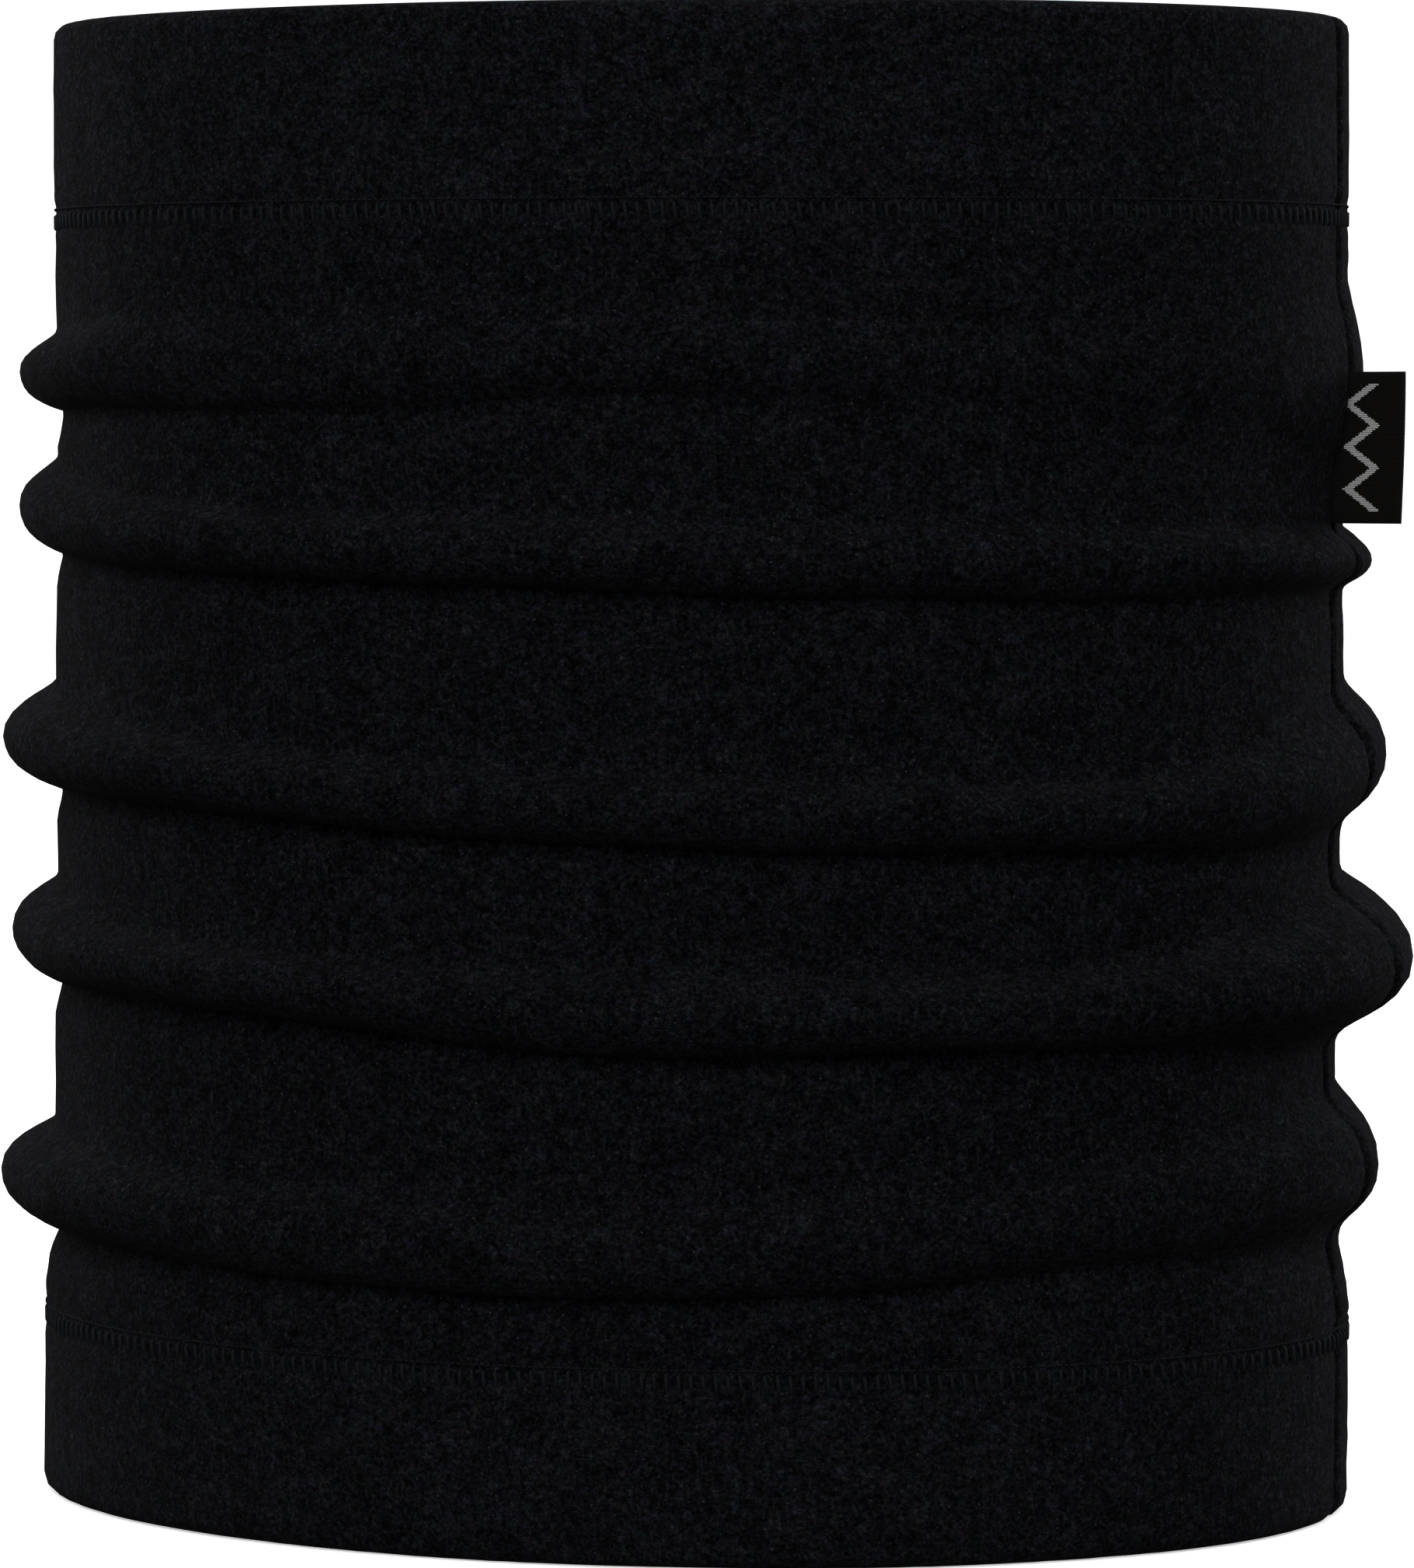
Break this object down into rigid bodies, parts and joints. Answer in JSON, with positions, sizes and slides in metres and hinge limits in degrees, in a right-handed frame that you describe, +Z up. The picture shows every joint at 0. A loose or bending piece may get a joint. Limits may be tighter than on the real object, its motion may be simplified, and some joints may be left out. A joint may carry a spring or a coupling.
{
  "type": "neck gaiter",
  "caption": "Soft fleece tube worn round the neck, hemmed at both ends and closed by a side seam, standing in soft level folds, with a small flag label sewn into the seam.",
  "frame": {"origin": "on the tube's axis, in the plane that the bottom rim stands on", "axes": "+Z up the tube, X across its wide side with the side seam near +X, -Y the front"},
  "size_m": [0.2183, 0.1311, 0.228],
  "materials": {
    "fleece": "matt black fleece with a short brushed nap",
    "thread": "black textured polyester sewing thread",
    "side_ribbon": "black damask-woven ribbon with a pale grey pattern of blocks",
    "care_ribbon": "white satin care ribbon, blank"
  },
  "bodies": {
    "gaiter": {"fleece_panel": "fleece", "top_hem_needle_thread": "thread", "top_hem_looper_thread": "thread", "bottom_hem_needle_thread": "thread", "bottom_hem_looper_thread": "thread", "side_seam_needle_thread": "thread", "side_seam_upper_looper_thread": "thread", "side_seam_lower_looper_thread": "thread", "side_label_tail": "side_ribbon", "care_label_tail": "care_ribbon"},
    "side_flag": {"side_label": "side_ribbon"},
    "care_flag": {"care_label": "care_ribbon"}
  },
  "joints": [
    {"name": "side_label_bend", "type": "hinge", "parent": "gaiter", "child": "side_flag", "pos_m": [0.10321, -0.00933, 0.1631], "axis": [0, 0, 1], "range_deg": [-70, 80]},
    {"name": "care_label_bend", "type": "hinge", "parent": "gaiter", "child": "care_flag", "pos_m": [0.08929, -0.00607, 0.074], "axis": [0, 0, 1], "range_deg": [-20, 110]}
  ]
}
